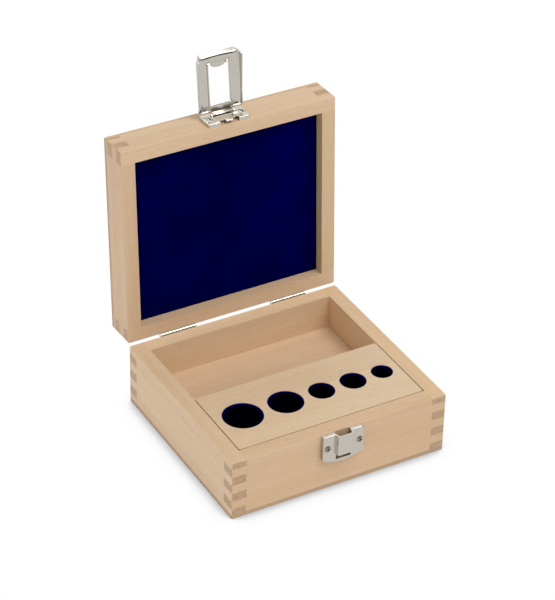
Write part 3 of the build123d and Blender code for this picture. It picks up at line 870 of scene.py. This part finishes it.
@dataclass
class LatchLoop:
    """The pressed loop of the latch, in millimetres: across, reach from the pin, and out from the wood.

    It is one sheet with a window. Its window is hemmed towards the wood, its sides are turned down into
    rims that deepen towards the far end, and the far end flares out into a finger lip. Each section
    runs from the window's edge to the outer edge, and the sections follow one another round the loop.
    """

    pose: LidPose
    sheet: float = 0.8
    half: float = 15.4
    near: float = 1.8
    far: float = 39.85
    near_corner: float = 1.4
    far_corner: float = 3.8
    window_half: float = 7.25
    window_right: float = 6.75  # the window's half width on the broader limb's side
    window_near: float = 6.8
    window_far: float = 33.0
    window_corner: float = 0.5
    face: float = 2.2           # out of the flat sheet's middle
    dish: float = 0.30          # depth of the hollow in the flat
    dish_width: float = 6.0     # where the flat is narrower than this, the hollow is shallower
    hem: float = 1.15           # out of the hem's edge
    hem_bend: float = 0.75      # radii of the hem's and the rim's bends
    rim_bend: float = 1.3
    rim_near: float = 1.0       # out of the rim's edge beside the pin
    rim_far: float = -1.5       # and at the far end
    rim_level: float = 12.0     # reach from which the rim deepens
    lip_deg: float = 45.0
    lip_short: float = 2.3      # how far the lip reaches in its middle, seen from above
    lip_arch: float = 1.9       # and how much further at its ends
    lip_straight: float = 0.8   # straight part of the lip, in shares of the bend's radius
    web: float = 1.2            # out of the web beside the barrel
    neck_half: float = 6.9
    neck_ease: float = 0.6      # the neck widens over this much and ends short of the plate's ears
    nib_half: float = 5.4
    nib_reach: float = 2.6
    nib_out: float = 2.08       # out of the nib's flat
    nib_slope: float = 2.0      # length over which the nib drops from the flat
    barrel: tuple[float, float] = (0.75, 1.6)       # radii of its hole and its outside
    barrel_edge: float = 0.25
    web_edge: tuple[float, float] = (-0.1, 1.2)     # where the web ends, counted from the window's side
    open_width: float = 1.5                         # the rim begins over this much beside the web
    crisp_deg: float = 50.0
    side_steps: int = 44
    corner_steps: int = 14
    end_steps: int = 72
    flat_steps: int = 14
    hem_steps: int = 6
    bend_steps: int = 7             # points round the rim's and the lip's bends
    wall_steps: int = 6             # points down the rim's and the lip's straights
    barrel_steps: int = 40

    def build(self, nickel: bpy.types.Material) -> None:
        """Make the loop in its raised place.

        Args:
            nickel: its material.
        """
        pressed = thickened(self.pose.raised_loop(*self.middle_surface()), self.sheet * MM / 2)
        points, quads = joined([pressed, self.barrel_shell()])
        piece = mesh_object("latch_loop_pressed", points, quads, self.crisp_deg)
        place(piece, "loop", "latch_loop", nickel)

    def frame_line(self, half: float, near: float, far: float, near_corner: float,
                   far_corner: float) -> Array:
        """Points round a rectangle with rounded corners, the same number on each stretch whatever its size.

        Args:
            half: half its width.
            near: its edge beside the pin.
            far: its edge beside the lip.
            near_corner: radius of the corners beside the pin.
            far_corner: radius of the corners beside the lip.

        Returns:
            An array of across and reach, up the left side and down the right one.
        """
        def side(start: tuple[float, float], end: tuple[float, float], steps: int) -> Array:
            """Evenly spaced points on a straight from start, short of its end."""
            t = np.linspace(0.0, 1.0, steps, endpoint=False)[:, None]
            return np.array(start) * (1 - t) + np.array(end) * t

        def corner(centre: tuple[float, float], radius: float, start_deg: float) -> Array:
            """Points on a clockwise quarter circle from its start angle, short of its end."""
            angle = np.radians(start_deg) - np.linspace(0.0, math.pi / 2, self.corner_steps, endpoint=False)
            return np.array(centre) + radius * np.stack([np.cos(angle), np.sin(angle)], axis=-1)

        low, high = near + near_corner, far - far_corner
        near_half, far_half = half - near_corner, half - far_corner
        return np.concatenate([
            side((-half, low), (-half, high), self.side_steps),
            corner((-far_half, high), far_corner, 180.0),
            side((-far_half, far), (far_half, far), self.end_steps),
            corner((far_half, high), far_corner, 90.0),
            side((half, high), (half, low), self.side_steps),
            corner((near_half, low), near_corner, 0.0),
            side((near_half, near), (-near_half, near), self.end_steps),
            corner((-near_half, low), near_corner, -90.0)])

    def lip_share(self) -> Array:
        """How far each section has gone over from a rim to the lip.

        Returns:
            0 on the sides, 1 at the far end and a soft step round the far corners.
        """
        rise = smooth_step(np.linspace(0.0, 1.0, self.corner_steps, endpoint=False), 0.1, 0.9)
        side, end = np.zeros(self.side_steps), np.ones(self.end_steps)
        rest = np.zeros(2 * self.corner_steps + self.end_steps)
        return np.concatenate([side, rise, end, 1 - rise, side, rest])

    def middle_surface(self) -> tuple[Array, Array, Array]:
        """The middle of the sheet.

        Each section starts at the window's edge with the hem, a straight piece and a quarter circle,
        goes on over the dished flat, and ends in a quarter circle and a straight rim, or in the lip's
        arc and straight. At the far end the window's edge is a nib instead: half an ellipse in plan,
        pressed down towards the wood. Beside the pin, the sheet between the hems lies lower as a web,
        and its outer edge runs in to the barrel as a neck that ends short of the plate's ears.

        Returns:
            Across, reach and out of each point, as arrays of sections by points.
        """
        outer = self.frame_line(self.half - self.sheet / 2, self.near + self.sheet / 2,
                                self.far - self.sheet / 4, self.near_corner, self.far_corner)
        inner = self.frame_line(self.window_half + self.sheet / 2, self.window_near - self.sheet / 2,
                                self.window_far + self.sheet / 2, self.window_corner, self.window_corner)
        inner[:, 0] *= np.where(inner[:, 0] > 0, self.window_right / self.window_half, 1.0)
        far_side = (inner[:, 1] > self.window_far).astype(float)
        near_side = 1 - smooth_step(inner[:, 1], self.window_near - self.sheet / 2, self.window_near)
        bulge = np.sqrt(np.clip(1 - (inner[:, 0] / self.nib_half) ** 2, 0.0, 1.0)) * far_side
        inner[:, 1] -= bulge * self.nib_reach
        necked = 1 - smooth_step(np.abs(outer[:, 0]), self.neck_half - self.neck_ease, self.neck_half)
        necked = necked * near_side
        outer[:, 1] -= necked * (self.near + self.sheet / 2)
        open_end = 1 - smooth_step(np.abs(outer[:, :1]), self.window_half, self.window_half + self.open_width)
        open_end = open_end * near_side[:, None]

        inward = inner - outer
        length = np.linalg.norm(inward, axis=-1, keepdims=True)
        inward /= length
        lip = self.lip_share()[:, None]
        deepest = self.far - self.far_corner
        depth = np.clip((outer[:, 1:] - self.rim_level) / (deepest - self.rim_level), 0.0, 1.0)
        rim_edge = self.rim_near + (self.rim_far - self.rim_near) * depth
        hem_w, hem_out = self.hem_part(length, bulge[:, None], near_side[:, None])
        flat_share = np.linspace(0.0, 1.0, self.flat_steps)[1:-1][None, :]
        rim_w, rim_out = self.rim_part(rim_edge)
        rim_w = rim_w * (1 - open_end) + np.linspace(self.rim_bend, 0.0, rim_w.shape[1]) * open_end
        lip_w, lip_out = self.lip_part(outer[:, :1])
        end_w = rim_w * (1 - lip) + lip_w * lip
        end_out = rim_out * (1 - lip) + lip_out * lip
        flat_w = hem_w[:, -1:] * (1 - flat_share) + end_w[:, :1] * flat_share
        width = np.clip((hem_w[:, -1:] - end_w[:, :1]) / self.dish_width, 0.0, 1.0)
        dish = self.dish * width ** 2 * np.sin(math.pi * flat_share) ** 2
        flat_out = hem_out[:, -1:] * (1 - flat_share) + end_out[:, :1] * flat_share + dish
        w = np.concatenate([hem_w, flat_w, end_w], axis=1)
        out = np.concatenate([hem_out, flat_out, end_out], axis=1)
        across = outer[:, :1] + inward[:, :1] * w
        reach = outer[:, 1:] + inward[:, 1:] * w
        webbed = 1 - smooth_step(np.abs(across), self.window_half + self.web_edge[0],
                                 self.window_half + self.web_edge[1])
        webbed = webbed * near_side[:, None]
        return across, reach, out * (1 - webbed) + self.web * webbed

    def hem_part(self, length: Array, nib: Array, web: Array) -> tuple[Array, Array]:
        """Distance from the outer edge, and out, along the hem of each section.

        Args:
            length: the sections' lengths from the outer line to the window's.
            nib: 0 where the window has its plain hem, up to 1 in the middle of the nib.
            web: 1 beside the pin, where the window's edge is cut plain.

        Returns:
            Two arrays of sections by points.
        """
        turn = np.linspace(0.0, math.pi / 2, self.hem_steps)[None, :]
        arc_w = length - self.hem_bend * (1 - np.cos(turn))
        arc_out = self.face - self.hem_bend * (1 - np.sin(turn))
        wall_w = np.broadcast_to(length, (len(length), 2))
        wall_out = np.broadcast_to(np.array([[self.hem, (self.hem + arc_out[0, 0]) / 2]]), wall_w.shape)
        plain_w = np.concatenate([wall_w, arc_w], axis=1)
        plain_out = np.concatenate([wall_out, np.broadcast_to(arc_out, arc_w.shape)], axis=1)
        count = plain_w.shape[1]
        tongue = self.nib_reach * nib
        run = np.linspace(0.0, 1.0, count)[None, :] * (tongue + self.nib_slope)
        rise = smooth_step(run, tongue, tongue + self.nib_slope)
        nib_out = self.nib_out + (self.face - self.nib_out) * rise
        share = np.maximum(smooth_step(nib, 0.05, 0.5), web)
        return plain_w * (1 - share) + (length - run) * share, plain_out * (1 - share) + nib_out * share

    def rim_part(self, edge: Array) -> tuple[Array, Array]:
        """Distance from the outer edge, and out, along the rim of each section.

        Args:
            edge: out of the rim's edge in each section.

        Returns:
            Two arrays of sections by points, from the flat to the rim's edge.
        """
        turn = np.linspace(0.0, math.pi / 2, self.bend_steps)[None, :]
        arc_w = self.rim_bend * (1 - np.sin(turn)) + 0 * edge
        arc_out = self.face - self.rim_bend * (1 - np.cos(turn)) + 0 * edge
        down = np.linspace(0.0, 1.0, self.wall_steps)[1:][None, :]
        wall_out = arc_out[:, -1:] * (1 - down) + edge * down
        return np.concatenate([arc_w, 0 * wall_out], axis=1), np.concatenate([arc_out, wall_out], axis=1)

    def lip_part(self, across: Array) -> tuple[Array, Array]:
        """Distance from the outer edge, and out, along the lip: an arc and a straight that flare outwards.

        Args:
            across: where each section meets the outer edge.

        Returns:
            Two arrays of sections by points, as many as a rim has.
        """
        angle = math.radians(self.lip_deg)
        span = self.lip_short + self.lip_arch * (across / self.half) ** 2
        radius = span / (math.sin(angle) + self.lip_straight * math.cos(angle))
        turn = np.linspace(0.0, angle, self.bend_steps)[None, :]
        straight = radius * self.lip_straight * np.linspace(0.0, 1.0, self.wall_steps)[1:][None, :]
        arc_w = span - radius * np.sin(turn)
        arc_out = self.face + radius * (1 - np.cos(turn))
        straight_w = arc_w[:, -1:] - straight * math.cos(angle)
        straight_out = arc_out[:, -1:] + straight * math.sin(angle)
        return np.concatenate([arc_w, straight_w], axis=1), np.concatenate([arc_out, straight_out], axis=1)

    def barrel_shell(self) -> tuple[Array, Array]:
        """The sheet rolled round the pin: a tube whose profile goes out, along, in and back.

        Returns:
            Points and quads.
        """
        hole, outer = self.barrel
        soft = self.barrel_edge
        radius = np.array([hole, outer - soft, outer, outer, outer - soft, hole])
        across = np.array([-1, -1, -1, 1, 1, 1]) * self.neck_half + np.array([0, 0, soft, -soft, 0, 0])
        angle = np.linspace(0.0, 2 * math.pi, self.barrel_steps, endpoint=False)[:, None]
        grid = self.pose.raised_loop(across[None, :], radius * np.cos(angle), radius * np.sin(angle))
        return grid.reshape(-1, 3), grid_quads(len(angle), len(radius), wrap_rows=True, wrap_columns=True)


@dataclass
class Hardware:
    """The nickel-plated hinges, latch plates, loop and screws."""

    nickel_nodes: tuple[str, ...] = (
        "hinge_left_base_leaf", "hinge_left_lid_leaf", "hinge_left_pin",
        "hinge_right_base_leaf", "hinge_right_lid_leaf", "hinge_right_pin",
        "catch_plate", "latch_plate", "loop_pin")
    screw_nodes: tuple[str, ...] = (
        "catch_screws", "latch_plate_screws", "hinge_base_screws", "hinge_lid_screws")
    screw_finish: NickelPlate = NickelPlate("screw_nickel", "#B8B2A6", 0.26, 0.12, 0.6)

    def dress(self, nickel: bpy.types.Material) -> None:
        """Give the plates bright nickel and the screws a duller one.

        Args:
            nickel: the plates' material.
        """
        screws = self.screw_finish.build()
        for node in self.nickel_nodes:
            dress(node, nickel)
        for node in self.screw_nodes:
            dress(node, screws)


# ---------------------------------------------------------------- studio


@dataclass
class Studio:
    """A white floor, an even soft light and the camera."""

    camera_m: tuple[float, float, float] = (-0.66779, -1.14655, 1.00051)
    azimuth_deg: float = -29.942
    elevation_deg: float = 34.319
    roll_deg: float = 1.380
    focal_px: float = 2628.1
    image_height_px: float = 600.0
    sensor_mm: float = 36.0
    floor_m: float = 12.0
    ambient: float = 0.49
    floor_glow: float = 0.18
    floor_mirrored: float = 0.85
    contact_mm: float = 16.0
    contact: tuple[tuple[float, float], ...] = (
        (0.50, 0.45), (0.54, 0.66), (0.60, 0.81), (0.66, 0.91), (0.75, 0.965), (0.87, 0.99), (0.97, 1.0))
    key_watts: float = 34.0
    key_size_m: float = 1.4
    key_m: tuple[float, float, float] = (0.5, -1.0, 2.3)
    side_watts: float = 12.2
    side_size_m: float = 1.4
    side_m: tuple[float, float, float] = (-2.2, 0.3, 0.35)
    paper_grey: float = 0.9
    paper_roughness: float = 0.9
    contact_samples: int = 12
    card_radius_m: float = 1.6
    card_azimuths_deg: tuple[float, float] = (-80.0, 80.0)
    card_elevations_deg: tuple[float, float] = (2.0, 34.0)
    card_steps: int = 33
    card_grey: float = 0.01
    clip_m: tuple[float, float] = (0.05, 50.0)

    def build(self) -> None:
        """Set up the view transform, world, floor, lamps, dark card and camera."""
        bpy.context.scene.view_settings.view_transform = "Standard"
        self.make_world()
        self.make_floor()
        self.make_softbox("key_softbox", self.key_m, self.key_watts, self.key_size_m)
        self.make_softbox("side_softbox", self.side_m, self.side_watts, self.side_size_m)
        self.make_card()
        self.make_camera()

    def make_world(self) -> None:
        """White where the camera or a mirror looks, and an even softer white on the object."""
        world = bpy.data.worlds.new("studio_world")
        bpy.context.scene.world = world
        world.use_nodes = True
        tree = world.node_tree
        tree.nodes.clear()
        seen = self.seen_directly(tree)
        strength = add_node(tree, "ShaderNodeMapRange", {"To Min": self.ambient, "To Max": 1.0},
                            {"Value": seen.outputs["Value"]})
        glow = add_node(tree, "ShaderNodeBackground", {"Color": grey(1.0)},
                        {"Strength": strength.outputs["Result"]})
        add_node(tree, "ShaderNodeOutputWorld", links={"Surface": glow.outputs["Background"]})

    @staticmethod
    def seen_directly(tree: bpy.types.NodeTree) -> bpy.types.Node:
        """Add a mask of the rays that see a thing directly, off gloss or through glass.

        Args:
            tree: the node tree that gets it.

        Returns:
            The node whose value is 1 for them and 0 for the rest.
        """
        path = add_node(tree, "ShaderNodeLightPath")
        mirror = add_node(tree, "ShaderNodeMath", {"operation": "MAXIMUM"},
                          {0: path.outputs["Is Camera Ray"], 1: path.outputs["Is Glossy Ray"]})
        return add_node(tree, "ShaderNodeMath", {"operation": "MAXIMUM"},
                        {0: mirror.outputs["Value"], 1: path.outputs["Is Transmission Ray"]})

    def make_floor(self) -> None:
        """A large sheet that lights the case from below and looks white but for a contact shadow."""
        half = self.floor_m / 2
        corners = np.array([[-half, -half, 0], [half, -half, 0], [half, half, 0], [-half, half, 0]])
        floor = mesh_object("studio_floor", corners, np.array([[0, 1, 2, 3]]))
        material, tree, paper = start_material("floor_paper")
        paper.inputs["Base Color"].default_value = grey(self.paper_grey)
        paper.inputs["Roughness"].default_value = self.paper_roughness
        paper.inputs["Specular IOR Level"].default_value = 0.0
        paper.inputs["Emission Color"].default_value = grey(1.0)
        paper.inputs["Emission Strength"].default_value = self.floor_glow
        nearness = add_node(tree, "ShaderNodeAmbientOcclusion",
                            {"samples": self.contact_samples, "Distance": self.contact_mm * MM})
        shade = add_node(tree, "ShaderNodeValToRGB", links={"Fac": nearness.outputs["AO"]})
        set_ramp(shade, [(position, grey(level)) for position, level in self.contact])
        path = add_node(tree, "ShaderNodeLightPath")
        strength = add_node(tree, "ShaderNodeMapRange", {"To Min": self.floor_mirrored, "To Max": 1.0},
                            {"Value": path.outputs["Is Camera Ray"]})
        seen = add_node(tree, "ShaderNodeEmission",
                        links={"Color": shade.outputs["Color"], "Strength": strength.outputs["Result"]})
        direct = self.seen_directly(tree)
        both = add_node(tree, "ShaderNodeMixShader", links={
            0: direct.outputs["Value"], 1: paper.outputs["BSDF"], 2: seen.outputs["Emission"]})
        output = next(node for node in tree.nodes if node.type == "OUTPUT_MATERIAL")
        tree.links.new(both.outputs["Shader"], output.inputs["Surface"])
        floor.data.materials.append(material)

    @staticmethod
    def make_softbox(name: str, place_m: tuple[float, float, float], watts: float, size_m: float) -> None:
        """Add a large soft lamp that looks at the case.

        Args:
            name: the lamp's name.
            place_m: where it hangs.
            watts: its power.
            size_m: the side of its square face.
        """
        lamp = bpy.data.lights.new(name, "AREA")
        lamp.energy = watts
        lamp.size = size_m
        softbox = bpy.data.objects.new(name, lamp)
        bpy.context.scene.collection.objects.link(softbox)
        softbox.location = place_m
        softbox.rotation_mode = "QUATERNION"
        softbox.rotation_quaternion = (-Vector(place_m)).to_track_quat("-Z", "Y")

    def make_card(self) -> None:
        """A dark card curved round the front that only mirrors see.

        It gives the nickel the black accents of a studio's unlit side. It is part of a cylinder about
        the case's upright axis: azimuth runs along it, and its height is the radius times the tangent
        of the elevation.
        """
        azimuth = np.radians(np.linspace(*self.card_azimuths_deg, self.card_steps))[:, None]
        height = self.card_radius_m * np.tan(np.radians(self.card_elevations_deg))[None, :]
        points = np.stack(np.broadcast_arrays(
            self.card_radius_m * np.sin(azimuth), -self.card_radius_m * np.cos(azimuth), height), axis=-1)
        card = mesh_object("dark_card", points.reshape(-1, 3), grid_quads(*points.shape[:2]))
        material, _, cloth = start_material("card_cloth")
        cloth.inputs["Base Color"].default_value = grey(self.card_grey)
        cloth.inputs["Specular IOR Level"].default_value = 0.0
        card.data.materials.append(material)
        card.visible_camera = False
        card.visible_diffuse = False
        card.visible_shadow = False
        card.visible_transmission = False

    def make_camera(self) -> None:
        """Place the camera by its angles, with the focal length given in pixels of the frame's height."""
        data = bpy.data.cameras.new("camera")
        camera = bpy.data.objects.new("camera", data)
        bpy.context.scene.collection.objects.link(camera)
        data.sensor_width = self.sensor_mm
        data.lens = self.focal_px * self.sensor_mm / self.image_height_px
        data.clip_start, data.clip_end = self.clip_m
        azimuth, elevation = math.radians(self.azimuth_deg), math.radians(self.elevation_deg)
        roll = math.radians(self.roll_deg)
        back = Vector((math.sin(azimuth) * math.cos(elevation), -math.cos(azimuth) * math.cos(elevation),
                       math.sin(elevation)))
        right = Vector((0, 0, 1)).cross(back).normalized()
        up = back.cross(right)
        rolled_right = right * math.cos(roll) + up * math.sin(roll)
        rolled_up = up * math.cos(roll) - right * math.sin(roll)
        turn = Matrix((rolled_right, rolled_up, back)).transposed()
        camera.matrix_world = Matrix.Translation(Vector(self.camera_m)) @ turn.to_4x4()
        bpy.context.scene.camera = camera


# ---------------------------------------------------------------- main


def corners(bounds: tuple[Vector, Vector]) -> list[list[float]]:
    """A box's two corners as plain lists."""
    return [list(corner) for corner in bounds]


def main() -> None:
    """Build every class in order."""
    logging.basicConfig(level=logging.INFO, format="%(name)s: %(message)s", stream=sys.stdout)
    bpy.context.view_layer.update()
    pose = LidPose.from_frame()
    BoxWork(pose).dress()
    LidLining(pose).build(Velvet("navy_velvet").build(), Foam("grey_foam").build())
    PocketLinings().build(PocketVelvet("pocket_velvet_painted_shade").build())
    nickel = NickelPlate("bright_nickel").build()
    Hardware().dress(nickel)
    LatchLoop(pose).build(nickel)
    Studio().build()


if __name__ == "__main__":
    main()
